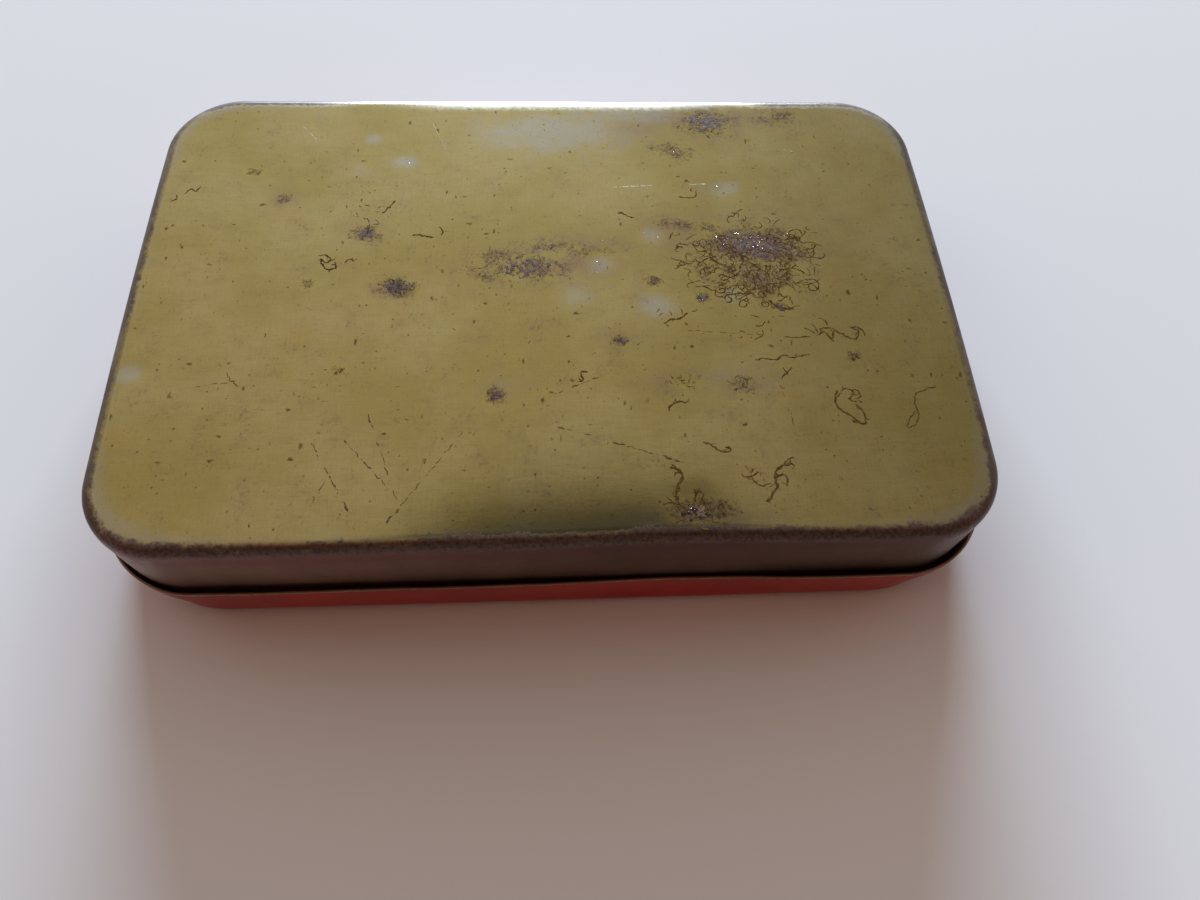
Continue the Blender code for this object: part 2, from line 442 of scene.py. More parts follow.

    # The far edge: darkened towards the corners, partly dirt and partly painted shade where the window's
    # highlight gives out, frosted in the middle.
    dirt_and_shade = s.times(s.step(rough_edge, 2.2, 1.3), s.value("tarnish_and_shade"))
    frosted = s.times(s.step(rough_edge, 3.0, 1.3), s.value("frost"))
    colour = s.over(
        colour,
        (wall, wall_tone),
        (s.times(dirt_and_shade, 0.9), (0.058, 0.036, 0.025)),
        (s.times(frosted, 0.7), (0.36, 0.37, 0.39)),
    )

    dull = s.most(s.step(rust, 0.45, 1.0), s.step(crease, 0.5, 1.0, 0, 0.30), dirt_and_shade)
    rough = s.plus(0.115, s.plus(grain, patch), 0.045)
    rough = s.blend(s.most(dull, s.times(s.most(wall, crease), 0.4)), rough, 0.62)
    scuffed = s.step(s.noise(9.0, 4, 0.6, shift=33.0), 0.40, 0.62, 0.35, 0.9)
    rough = s.blend(s.times(turned, scuffed), rough, 0.55)
    return s.finish(
        Base_Color=colour,
        Metallic=s.blend(dull, 0.96, 0.12),
        Roughness=s.blend(frosted, rough, 0.40),
        Normal=s.bump(fine, 0.0024, s.bump(grain, 0.0004)),
    )


def rust_material(name, dark, light, roughness=0.55, gloss=0.0):
    s = Shader(name, roughness=roughness, specular_ior_level=gloss)
    colour = s.mix(s.step(s.noise(0.45, 4, 0.65), 0.35, 0.65), dark, light)
    colour = s.mix(s.value("edge"), colour, scaled(dark, 0.4))
    pits = s.step(s.noise(0.2, 2, shift=3.0), 0.54, 0.7, 0, 0.5)
    return s.finish(
        Base_Color=s.mix(pits, colour, scaled(dark, 0.45)),
        Normal=s.bump(s.noise(0.14, 3), 0.012),
    )


def bare_tin(name, tint=(0.52, 0.50, 0.46), roughness=0.3):
    s = Shader(name, metallic=0.95)
    spangle = s.noise(4.0, 4, 0.6, shift=2.0)
    stain = s.step(s.noise(7.0, 5, 0.65, shift=11.0), 0.52, 0.74)
    colour = s.mix(s.step(spangle, 0.4, 0.6), tint, scaled(tint, 0.86))
    colour = s.mix(s.times(stain, 0.5), colour, (0.30, 0.20, 0.11))
    dots = s.specks(1.7, 0.22, 0.30, shift=5.0)
    return s.finish(
        Base_Color=s.mix(s.times(dots, 0.7), colour, (0.10, 0.06, 0.04)),
        Roughness=s.plus(roughness, s.plus(spangle, stain), 0.12),
        Normal=s.bump(s.noise(0.3, 3, stretch=(0.1, 1, 1)), 0.006),
    )


GOLD_LINES = ((5.2, 0.32), (6.3, 0.12))  # how far inside the lid's outline, half width


def red_enamel():
    """Red enamel with a printed double gold line, rubbed and chipped to tin along its edges."""
    s = Shader("red_enamel_worn", coat_weight=0.1, coat_roughness=0.15, specular_ior_level=0.25)
    cloud = s.noise(11.0, 4, 0.6)
    fine = s.noise(0.5, 4, 0.65, shift=4.0)
    colour = s.mix(s.step(cloud, 0.35, 0.7), (0.26, 0.008, 0.008), (0.35, 0.019, 0.014))
    edge = s.value("edge")
    lines = s.most(*(s.math("COMPARE", edge, middle, reach) for middle, reach in GOLD_LINES))
    printed = s.times(lines, s.step(fine, 0.34, 0.44))
    colour = s.mix(printed, colour, (0.55, 0.40, 0.12))
    scuffs = s.step(s.noise(0.5, 5, 0.7, stretch=(0.08, 1, 1), shift=21.0, turn=0.5), 0.66, 0.74)
    colour = s.mix(s.times(scuffs, 0.45), colour, (0.55, 0.30, 0.22))
    ragged = s.times(s.plus(fine, s.noise(1.8, 3, shift=8.0)), 0.45)
    chips = s.step(s.plus(ragged, s.value("wear"), 0.75), 0.86, 0.93)
    tin = s.mix(s.noise(0.6, 3, shift=6.0), (0.42, 0.38, 0.33), (0.16, 0.085, 0.05))
    colour = s.mix(chips, colour, tin)
    dots = s.specks(1.9, 0.22, 0.30, shift=2.0)
    return s.finish(
        Base_Color=s.mix(s.times(dots, 0.8), colour, (0.06, 0.03, 0.02)),
        Metallic=s.times(s.most(chips, printed), 0.7),
        Roughness=s.plus(0.26, s.plus(cloud, scuffs), 0.18),
        Normal=s.bump(chips, -0.03, s.bump(fine, 0.008)),
    )


def wax_material():
    s = Shader("polish_wax_brown", subsurface_weight=0.06, coat_weight=0.12, coat_roughness=0.3)
    s.set("Subsurface Radius", (0.002, 0.0009, 0.0005))
    cloud = s.noise(6.0, 4, 0.6)
    bloom = s.step(s.noise(2.6, 5, 0.7, shift=6.0), 0.52, 0.72)
    colour = s.mix(cloud, (0.036, 0.014, 0.008), (0.085, 0.034, 0.017))
    return s.finish(
        Base_Color=s.mix(s.times(bloom, 0.35), colour, (0.17, 0.11, 0.075)),
        Roughness=s.plus(0.34, s.plus(cloud, bloom), 0.18),
        Normal=s.bump(s.noise(0.5, 4, stretch=(0.3, 1, 1)), 0.04),
    )


def paper_material():
    s = Shader("waxed_paper_stained", transmission_weight=0.12, specular_ior_level=0.4)
    fibre = s.noise(0.35, 5, 0.7, stretch=(1, 0.35, 1))
    grease = s.step(s.noise(9.0, 5, 0.6, shift=3.0), 0.46, 0.64)
    colour = s.mix(s.times(fibre, 0.5), (0.72, 0.64, 0.48), (0.58, 0.49, 0.34))
    colour = s.mix(s.times(grease, 0.65), colour, (0.34, 0.21, 0.10))
    dots = s.specks(2.4, 0.30, 0.35, shift=9.0)
    return s.finish(
        Base_Color=s.mix(s.times(dots, 0.7), colour, (0.08, 0.035, 0.02)),
        Roughness=s.plus(0.36, fibre, 0.2),
        Normal=s.bump(fibre, 0.02),
    )


# ---------------------------------------------------------------- marks on the tray's panel

# Places on the panel, in millimetres from its middle.
RUST = [  # x, y, half length, half width, strength
    (24.8, 6.3, 5, 2.3, 1), (29.5, 5.2, 2.2, 1.6, 0.5), (24.5, 1.6, 5.2, 2.6, 0.66),
    (19, 3.6, 3.2, 3, 0.4), (15.8, 9.9, 3.2, 0.9, 0.5), (19.6, 9.3, 1.2, 0.8, 0.66),
    (0.6, 6.4, 4.2, 0.9, 0.4), (-9, 3, 2, 1.4, 0.3), (-2.4, 3.4, 4.8, 2.3, 0.5),
    (4.2, 5.6, 3.6, 1.1, 0.4), (-6, 5, 1.8, 1, 0.62), (-6.4, 2.2, 1.8, 1.2, 0.42),
    (-17.6, 0.4, 1.9, 1.1, 1.05), (-21.7, 8.6, 1.5, 1, 0.95), (-36.1, 18.6, 1.1, 0.7, 0.62),
    (-31.9, 14.2, 0.7, 0.7, 0.8), (-27.6, 1.2, 0.7, 0.6, 0.85), (12.3, 1, 0.8, 0.7, 0.85),
    (17.8, -1.3, 1, 0.8, 0.8), (7.9, -7.2, 0.8, 0.6, 0.85), (34.1, -9.6, 0.8, 0.7, 0.62),
    (-23, -10.7, 0.8, 0.6, 0.65), (-6.1, -14.3, 1, 0.8, 0.9), (14.7, -28.6, 2.4, 1.2, 1),
    (21.2, -13.2, 1.6, 1.1, 0.48), (14.7, -12.7, 1.8, 0.9, 0.44), (21, 27.4, 3.4, 2.4, 0.62),
    (31, 28.2, 3, 1.5, 0.5), (16.4, 22.4, 2.6, 1.6, 0.48), (26.7, -2.6, 0.8, 0.6, 0.85),
]
WORN = [  # the same
    (1, 25.4, 10, 4, 1), (12, 28.4, 7, 1.6, 0.9), (-21.9, 24.3, 1.5, 1, 0.9),
    (-17.9, 20.2, 1.8, 1.2, 1), (-23.1, 19, 1.6, 1.1, 0.7), (22, 15.6, 2.2, 1.6, 0.9),
    (12.5, 8.2, 1.6, 1.4, 0.9), (6.2, 3.6, 1.8, 1.6, 1), (2.7, -1.1, 2.2, 1.6, 0.85),
    (12.7, -2.6, 2.2, 1.8, 1), (21.6, -0.9, 1.6, 1.2, 0.95), (0, 5, 4, 2.4, 0.6),
    (-5.6, -13, 4, 2.6, 0.45), (20, -12.6, 4, 1.6, 0.6), (-45.2, -10.7, 1.3, 1.2, 1.1),
    (-30, 28.6, 6, 1, 0.4),
]
HAZE = [  # the same
    (21, 27.4, 5, 2.8, 0.85), (30, 28.5, 5, 1.8, 0.65), (13.5, 26.8, 5, 2.4, 0.5),
    (25, 6.2, 6.4, 3, 0.8), (23.6, 1.8, 5.4, 2.4, 0.45), (16.2, 9.8, 4.2, 1.4, 0.8),
    (-1.4, 3.6, 6.6, 2.2, 0.75), (4.4, 6.4, 4, 1.6, 0.6), (-5.8, 5, 2.6, 1.4, 0.6),
    (-17.6, 0.4, 2.4, 1.3, 0.5), (-21.7, 8.8, 2, 1.5, 0.6), (-31.9, 14.2, 1.4, 1.2, 0.6),
    (12.9, -12.7, 3.4, 1.2, 0.45), (21, -13, 3, 1.3, 0.55), (7.9, -6.6, 2.4, 1.4, 0.35),
    (13, -29.4, 7, 1.2, 0.6), (17.2, 5.6, 3.2, 3, 0.5),
]
WORMS = [  # width, then x and y of each point the track passes through
    (0.34, 12.2, -23.2, 12.9, -23.5, 13.4, -24.4, 12.8, -25.6, 12.5, -26.6, 13, -27.6, 13.8, -28.4),
    (0.26, 14.6, -27.8, 15.3, -26.6, 15, -25.9, 14.6, -26.6, 14.4, -27.2),
    (0.2, 11, -27.4, 12, -27.3, 12.8, -27.6),
    (0.2, 15.2, -28.2, 16.5, -28, 17.5, -27.4),
    (0.22, 15, -29.2, 16.6, -29.6, 17.8, -29.9),
    (0.2, 14.2, -29.6, 14.9, -30.3, 15.6, -30.4),
    (0.2, 12.9, -29, 12.2, -29.6, 11.6, -29.5),
    (0.32, 22, -27.5, 22.6, -26.6, 23.2, -25.8, 23.1, -24.7, 23.6, -23.7, 24.6, -23.2, 25.4, -23.3),
    (0.24, 23, -24.8, 23.9, -24.4, 24.4, -24.9, 24.2, -25.8),
    (0.2, 22.6, -25.3, 21.6, -25.6, 20.8, -25, 20.9, -24.3, 21.6, -24),
    (0.18, 20.6, -24.4, 19.9, -24.6, 19.5, -24.2),
    (0.18, 24.3, -23.2, 24.9, -22.5, 25.6, -22.4),
    (
        0.26, 31.6, -14.2, 31.1, -15.2, 31.3, -16.5, 32.4, -17.4,
        33.4, -18.4, 34, -18.3, 33.9, -17, 33.2, -15.9,
    ),
    (0.18, 31.8, -14.3, 32.6, -14, 33.3, -14.6, 32.7, -15.4, 33.6, -15.8),
    (0.16, 33, -14.2, 33.8, -14.2, 34, -15, 33.2, -15.4),
    (
        0.17, 42.8, -13.9, 41.5, -14.3, 40.3, -14.8, 39.9, -16,
        40, -17.6, 39.4, -18.7, 38.5, -18.9, 39, -17.9, 39.8, -16.9,
    ),
    (0.22, 15.9, -20.3, 16.8, -20.7, 17.4, -21.3, 18.5, -21.6, 18.9, -21.2, 18.2, -21),
    (0.22, 12.7, -16.5, 12.9, -15.8, 13.8, -15.4, 14.9, -15.4),
    (0.17, 22.8, -10.1, 23.8, -9.9, 25.2, -10, 26.4, -9.4, 27, -9.8, 29.2, -9.4),
    (
        0.22, 30.4, -6.9, 31.4, -6.4, 32, -7.3, 32.6, -6.2, 33.6, -6.9,
        34.8, -7.4, 35.3, -6.4, 34.5, -5.8, 35.7, -6, 36, -7,
    ),
    (0.2, 31.2, -6.4, 31, -5.9, 32.2, -5.8),
    (
        0.22, -26.9, 5.3, -26, 5.3, -25.4, 4.7, -25.9, 4.2,
        -26.6, 4.8, -26.2, 3.8, -25.5, 3.2, -24.7, 3.6, -25, 4.4,
    ),
    (0.18, -23.8, 4.2, -23.2, 4.7, -22.6, 4.3),
    (0.18, -43.9, 15, -43.2, 15.7, -42.6, 15.4, -42.2, 16),
    (0.18, -45.2, 13.6, -44.6, 14.3, -44.9, 14.9),
    (0.22, 3, -12.6, 3.5, -12.3, 3.2, -11.6, 3.7, -11.2, 4.1, -11.5),
    (0.2, 25.4, -12.6, 26.2, -11.8, 26.9, -11),
    (0.18, 25.9, -11, 26.3, -12.2),
    (0.18, 30.2, 1.2, 31.4, 1.1, 31.8, 0.2, 31.2, -0.6, 30.5, -0.1, 30.9, 0.6, 31.6, -0.3),
    (0.26, 25.4, -1.8, 26.3, -2.5, 27.2, -3, 28.4, -3.1),
    (0.22, 12.9, -4.9, 13.8, -4.4, 14.8, -4.3, 15.9, -3.5),
    (0.16, 16.2, 14.3, 17.2, 14.2, 18.4, 14.3, 18.6, 15.4),
    (0.24, -16.2, 8.3, -15, 8.2, -13.7, 7.9),
    (0.18, -13.1, 9.6, -12.6, 8.9, -12.8, 8.2),
    (0.2, -20, 11.7, -19.2, 12.8, -18.5, 13.8),
    (0.18, 8.6, 11.8, 10, 11, 10.6, 10.9),
    (0.17, 29.6, -7.1, 28, -7.1, 26.6, -6.9),
]
# Places full of small tracks.
NESTS = [  # x, y, half length, half width, tracks, longest, width
    (25, 4.2, 6.6, 3.8, 100, 3, 0.19), (31, 7.4, 2.4, 2, 12, 4, 0.2),
    (24, -0.6, 4.6, 1.6, 34, 3.4, 0.22), (19.2, 3, 3.4, 3.2, 30, 2.8, 0.16),
    (25, 10.4, 4, 1.2, 9, 2.2, 0.18), (27, -4.6, 4.4, 2.2, 12, 2.4, 0.18),
    (-2, 3.2, 4.8, 2.1, 20, 1, 0.14), (-6.4, 2.8, 2.4, 1.8, 14, 0.9, 0.16),
    (-17.6, 0.5, 1.5, 0.9, 14, 1.2, 0.24), (-21.4, 9.6, 1.4, 1.6, 12, 1.2, 0.2),
    (-22.4, 12.6, 1.8, 0.9, 7, 0.8, 0.17), (-22, 15, 0.9, 0.5, 5, 0.7, 0.16),
    (14.8, -28.2, 2.2, 1.2, 14, 1.6, 0.22), (21.3, -24.4, 1, 0.8, 9, 1.4, 0.17),
    (23.4, -25, 0.6, 1.4, 7, 1, 0.2), (33.2, -15.2, 0.8, 0.7, 7, 1, 0.17),
    (14.6, -12.8, 2, 0.8, 12, 0.9, 0.16), (21.2, -13.2, 1.9, 1.2, 14, 1.1, 0.16),
    (14, -3.2, 2.6, 1.4, 8, 1, 0.18), (20, -6.6, 4.6, 0.6, 9, 0.9, 0.15),
    (20.4, 26.4, 3.6, 2.4, 20, 1, 0.18), (17.6, 16.2, 1.6, 1.6, 5, 1, 0.18),
    (-23, -10.8, 1.6, 1, 6, 0.7, 0.15), (3.4, -12.4, 2.6, 1.4, 5, 0.8, 0.14),
    (-22.5, 4.5, 1, 0.6, 3, 0.9, 0.15), (0, 0, 44, 28, 76, 0.6, 0.13),
    (-12, -14, 16, 12, 34, 0.7, 0.13), (-18, 8, 12, 9, 26, 0.6, 0.13), (12, -6, 22, 14, 36, 0.8, 0.13),
    (16.6, 6, 2.4, 3.2, 24, 2.2, 0.15), (29.6, 1.4, 2.8, 2, 12, 2.2, 0.16),
]
DARK_SCRATCHES = [  # x and y of its start, of its end, width
    (-21.8, -19.3, -15.7, -26.1, 0.16), (-19.5, -16.1, -15.9, -26.2, 0.13),
    (-9.4, -18.5, -16.7, -28.9, 0.16), (-25, -19.6, -19.7, -29, 0.16), (-23.2, -24, -24.2, -26.4, 0.18),
    (-0.3, -17.9, 13.7, -22.7, 0.2), (25.2, -13.3, 26.1, -18.6, 0.12), (-0.3, -14.4, 5.7, -11.8, 0.12),
    (-36, -9.6, -33.4, -12.8, 0.12), (-38.6, -12.6, -33.8, -11.8, 0.11), (15.6, -5.9, 28.4, -7.1, 0.11),
]
BRIGHT_SCRATCHES = [  # x and y of its start, of its end, width
    (8, 15.9, 13.2, 16.2, 0.12), (16.6, 16.3, 20, 16.4, 0.14), (-31, 26.4, -29, 24, 0.08),
    (-14.6, 27, -10.6, 17, 0.05), (30.6, 22.4, 32, 22, 0.08),
]
CRUSTS = [  # x, y, half length, half width, strength, how dark
    (24.9, 6.5, 5.5, 2.3, 0.36, 0.3), (-17.5, 0.4, 1.7, 0.9, 0.8, 0.35),
    (-21.7, 8.5, 1.3, 0.8, 0.7, 0.2), (14.8, -28.7, 2, 0.9, 0.8, 1), (-6.1, -14.3, 0.8, 0.6, 0.8, 0.3),
    (-2.4, 3.2, 3.6, 1.5, 0.22, 0.1), (20.8, 27.2, 3, 1.6, 0.4, 0.1), (26.9, -2.8, 0.6, 0.5, 1, 0.4),
    (17.8, -1.3, 0.8, 0.6, 0.8, 0.3), (7.9, -7.2, 0.7, 0.5, 0.8, 0.35), (12.3, 1, 0.6, 0.5, 0.8, 0.3),
]
GLINTS = [  # x, y, reach, flakes
    (22.6, 7.4, 1.1, 22), (25.2, 6.9, 1.2, 30), (20.8, 7.4, 1, 8), (14, -28.1, 0.5, 5),
    (12.7, -2.9, 1.4, 5), (6.2, 3.4, 1.2, 2), (22, 15.6, 1, 4), (17.9, -1.2, 0.7, 4), (29, 8.2, 0.5, 3),
    (12.5, 8.2, 0.9, 4), (-17.9, 20, 0.8, 3), (0, 0, 40, 5),
]


def blotch(points, places):
    """The strongest of several soft-edged ovals at each point."""
    found = np.zeros(len(points))
    for x, y, long_half, wide_half, strength in places:
        away = ((points[:, 0] - x) / long_half) ** 2 + ((points[:, 1] - y) / wide_half) ** 2
        found = np.maximum(found, strength * np.exp(-0.7 * away))
    return found


# ---------------------------------------------------------------- dents

PUSH_X, PUSH_WIDTH, PUSH = 12.0, 12.0, 0.40  # the long front side has been pushed in here
FOOT_TUCK = 1.3  # the lid's corners draw in this far towards its panel
CORNER_KNOCK = 0.35  # and its left front corner is knocked in at the rim
DIMPLES = [  # x, y, reach, depth
    (-44.6, -10.6, 1.6, 0.10),
    (-6.1, -14.3, 1.5, 0.05),
    (14.5, -27.6, 3.0, 0.06),
    (22.0, 15.4, 1.6, 0.04),
]


def panel_level(points):
    """How far the panel is off flat: a faint hollow and gentle waves, none at the edge, and a few dimples."""
    inside = smoothstep(inset_of(points, TRAY_HALF, TRAY_CORNER), TRAY_EDGE, TRAY_EDGE + 9.0)
    level = inside * (0.055 * fractal(at_level(points), 26.0, 2, 3.0) - 0.03)
    for x, y, reach, depth in DIMPLES:
        level -= depth * np.exp(-((points[:, 0] - x) ** 2 + (points[:, 1] - y) ** 2) / reach**2)
    return level


def knocked(points):
    """Sideways dents of the front long side and small unevenness all round."""
    x, y, z = points.T
    front, back = smoothstep(-y, 20.0, 30.0), smoothstep(y, 20.0, 30.0)
    uneven = 0.09 * fractal(np.column_stack((x, np.sign(y) * 30.0, z * 0.3)), 13.0, 2, 5.0)
    moved = np.zeros((len(points), 3))
    moved[:, 1] = PUSH * np.exp(-(((x - PUSH_X) / PUSH_WIDTH) ** 2)) * front + uneven * (front - back)
    return moved


def inward(points, shift):
    """The shift as a step from the nearest corner straight towards the middle."""
    return -np.sign(points[:, :2]) / math.sqrt(2) * shift[:, None]


def tuck(points):
    """The step by which the lid's corners draw in towards its panel, and with them what stands in them."""
    near = smoothstep(corner_nearness(points, LID_HALF), 0.2, 0.7)
    return inward(points, FOOT_TUCK * near * smoothstep(-points[:, 2], -5.6, -0.8))


# ---------------------------------------------------------------- pieces


def build_tray():
    wall_top, wall_low = TOP - TRAY_EDGE, MOUTH + BEAD_LIFT + 0.24
    outer = arc_profile(TRAY_EDGE, TOP, -1)
    outer += [(0.0, z, z - wall_top, 0) for z in np.linspace(wall_top, wall_low, 19)[1:]]
    for angle in np.radians(np.linspace(BEAD_TURN, -BEAD_TURN, 9)):
        out, up = BEAD_RADIUS * math.cos(angle), BEAD_RADIUS * math.sin(angle)
        outer.append((-BEAD_OUT - out, MOUTH + BEAD_LIFT + up, UNSEEN, 0))
    outer += [(inset, MOUTH + up, UNSEEN, 1) for inset, up in ((0.02, 0.02), (0.10, 0.0), (0.22, 0.01))]
    outer += [(SHEET, z, UNSEEN, 1) for z in np.linspace(MOUTH + 0.08, wall_top, 7)]
    outer += hidden_arc(TRAY_EDGE - SHEET, TOP - SHEET, -1, SHEET, steps=4, slot=1)
    tray = Solid(TRAY_HALF, TRAY_CORNER)
    rings = tray.loft(outer, up=True)
    tray.fill(rings[0], TOP, 0.55, True, TRAY_EDGE + 0.4)
    tray.fill(rings[-1], TOP - SHEET, 2.2, False, TRAY_EDGE + 1.5, 1)

    rest = tray.points.copy()
    x, y, z = rest.T
    tray.points = rest + knocked(rest) * smoothstep(z, RIM - 1.0, RIM + 4.0)[:, None]
    tray.points[:, :2] += tuck(rest)
    tray.points[:, 2] += panel_level(rest) * smoothstep(z, TOP - 1.2, TOP - 0.4)
    panel = smoothstep(z, TOP - 1.5, TOP - 0.3)
    at_front, at_back = smoothstep(-y, 27.0, 30.6), smoothstep(y, 27.0, 30.6)
    values = {
        "stain": blotch(rest, RUST) * panel,
        "worn": blotch(rest, WORN) * panel,
        "haze": blotch(rest, HAZE) * panel,
        "wear": corner_nearness(rest, TRAY_HALF),
        "front": at_front * (0.1 + 0.9 * smoothstep(x, -24.0, -4.0)),
        # the far edge's ends: dirt, and painted shade where the window's highlight gives out
        "tarnish_and_shade": at_back * smoothstep(np.abs(x), 23.0, 31.0),
        "flank": smoothstep(np.abs(x), 43.5, 46.0),
        "frost": smoothstep(y, 27.0, 30.0) * smoothstep(-np.abs(x - 3.0), -27.0, -10.0),
        # darker towards the right of the front wall
        "darker_to_right": at_front * smoothstep(x, -26.0, 12.0),
    }
    materials = [tray_lacquer(), bare_tin("tray_inside_tin")]
    tray.build("tray_shell", materials, "tray", "gold_lacquer", ["tray"], values)


def build_lid():
    low = LID_LOW[2]
    wall_low, lip = low + LID_EDGE, RIM - 0.06
    outer = arc_profile(LID_EDGE, low, 1)
    outer += [(0.0, z, wall_low - z, 0) for z in np.linspace(wall_low, lip, 11)[1:]]
    outer += [(0.05, RIM, UNSEEN, 1), (SHEET - 0.05, RIM, UNSEEN, 1), (SHEET, lip, UNSEEN, 1)]
    outer += [(SHEET, z, UNSEEN, 2) for z in np.linspace(lip, wall_low, 5)[1:]]
    outer += hidden_arc(LID_EDGE - SHEET, low + SHEET, 1, SHEET, steps=5, slot=2)
    lid = Solid(LID_HALF, LID_CORNER)
    rings = lid.loft(outer, up=False)
    lid.fill(rings[0], low, 1.0, False, LID_EDGE + 0.6)
    lid.fill(rings[-1], low + SHEET, 2.2, True, LID_EDGE + 1.5, 2)

    rest = lid.points.copy()
    x, y, z = rest.T
    above = smoothstep(z, 0.5, 4.0)
    nearness = corner_nearness(rest, LID_HALF)
    lid.points = rest + knocked(rest) * above[:, None]
    lid.points[:, :2] += tuck(rest)
    left_front = (x < 0) & (y < 0)
    lid.points[:, :2] += inward(rest, CORNER_KNOCK * left_front * smoothstep(nearness, 0.3, 0.75) * above)
    rim_wave = 0.10 * fractal(at_level(rest), 9.0, 3, 8.0) - 0.05
    lid.points[:, 2] += rim_wave * smoothstep(z, RIM - 1.2, RIM - 0.1)
    near_rim = smoothstep(z, RIM - 0.9, RIM)
    near_foot = 0.72 * np.exp(-(((lid.edge - 0.6) / 0.7) ** 2))
    values = {"wear": np.clip(np.maximum(near_rim, near_foot) * (0.8 + 0.3 * nearness), 0, 1)}
    rim_tin = bare_tin("lid_rim_tin", (0.19, 0.115, 0.075), 0.42)
    materials = [red_enamel(), rim_tin, bare_tin("lid_inside_tin")]
    lid.build("lid_shell", materials, "lid", "red_enamel", ["lid"], values)


def build_polish():
    """The cast cake, its face brushed into a hollow with arcs of bristle marks and shrunk from the wall."""
    low, high = CAKE_LOW[2], CAKE_HIGH[2]
    profile = []
    for angle in np.linspace(math.pi / 2, 0, 5):
        z = high - CAKE_EDGE * (1 - math.sin(angle))
        profile.append((CAKE_EDGE * (1 - math.cos(angle)), z, 0, 0))
    profile += [(0.0, z, 0, 0) for z in np.linspace(high - CAKE_EDGE, low + 0.5, 6)[1:]]
    profile += [(0.10, low + 0.25, 0, 0), (0.35, low + 0.06, 0, 0), (0.8, low, 0, 0)]
    cake = Solid(TRAY_HALF - SHEET - FIT_GAP, TRAY_CORNER - SHEET - FIT_GAP)
    rings = cake.loft(profile, up=True)
    cake.fill(rings[0], high, 4.0, True, 3.0)
    cake.fill(rings[-1], low, 0.5, False, 1.2)
    points = cake.points
    x, y, z = points.T
    away = (x / HOLLOW_HALF[0]) ** 2 + (y / HOLLOW_HALF[1]) ** 2
    hollow = HOLLOW_DEPTH * np.sqrt(np.clip(1 - away, 0, 1)) * smoothstep(1 - away, 0.0, 0.25)
    swirl = np.hypot(x + 14.0, y - 46.0)
    bristle = 0.07 * np.sin(swirl * 5.2 + 1.5 * fractal(points, 9.0, 2, 1.0))
    bristle *= (0.5 + fractal(points, 7.0, 2, 4.0)) * (0.4 + hollow / HOLLOW_DEPTH)
    lumps = 0.22 * fractal(points, 5.0, 4, 2.0)
    inside = smoothstep(inset_of(points, cake.half, cake.corner), 0.6, 3.0)
    lift = hollow + np.maximum(0.12 + lumps + bristle, 0.0) * inside
    points[:, 2] += np.where(z < low + 0.7, lift, 0.0)
    cake.build("polish_cake_wax", [wax_material()], "tray", "polish_wax", ["polish_cake"])


def build_liner():
    """A sheet of waxed paper that has taken a crumple and lies loose on the lid's panel."""
    half = TRAY_HALF - SHEET - LINER_MARGIN
    corner = TRAY_CORNER - SHEET - LINER_MARGIN
    liner = Solid(half, corner)
    ring = liner.add(at_level(outline(half, corner)))
    liner.fill(ring, 0.0, 0.8, True, 0.5)
    flat = liner.points.copy()
    x, y, _ = flat.T
    folds = np.zeros(len(flat))
    rng = random.Random(11)
    for _ in range(26):
        angle = rng.uniform(0, math.pi)
        across = x * math.cos(angle) + y * math.sin(angle) - rng.uniform(-34, 34)
        along = -x * math.sin(angle) + y * math.cos(angle) - rng.uniform(-30, 30)
        reach = rng.uniform(8, 26)
        folds += rng.uniform(0.10, 0.34) * np.exp(-np.abs(across) / 1.5) * np.exp(-((along / reach) ** 2))
    wave = 0.30 * (fractal(flat, 22.0, 3, 6.0) + 0.6)
    liner.points[:, 2] = LINER_LOW[2] + 0.05 + np.clip(folds + wave, 0.0, LINER_CRUMPLE)
    liner.points[:, :2] += tuck(liner.points)
    obj = liner.build("paper_liner_sheet", [paper_material()], "liner", "waxed_paper", ["paper_liner"])
    shell = obj.modifiers.new("paper", "SOLIDIFY")
    shell.thickness = LINER_SHEET * MM
    shell.offset = 0.0


def smooth_path(points, spacing):
    """A curve through the given points, as close-set points."""
    ends = [2 * points[0] - points[1], *points, 2 * points[-1] - points[-2]]
    found = []
    for a, b, c, d in zip(ends, ends[1:], ends[2:], ends[3:]):
        second, third = 2 * a - 5 * b + 4 * c - d, 3 * b - a - 3 * c + d
        steps = max(2, int(np.linalg.norm(c - b) / spacing))
        for t in np.arange(steps) / steps:
            found.append(0.5 * (2 * b + (c - a) * t + second * t**2 + third * t**3))
    return np.array([*found, points[-1]])


def wandering_path(rng, start, length, spacing=0.12):
    """A track like those of filiform rust: it turns this way and that, never straight for long."""
    heading = rng.uniform(0, 2 * math.pi)
    bend = rng.gauss(0, 1.6)
    found = [np.array(start, float)]
    for _ in range(max(3, int(length / spacing))):
        if rng.random() < 0.10:
            bend = rng.gauss(0, 2.2)
        if rng.random() < 0.05:
            heading += rng.choice((-1, 1)) * rng.uniform(0.8, 1.7)
        heading += bend * spacing
        found.append(found[-1] + spacing * np.array((math.cos(heading), math.sin(heading))))
    return np.array(found)


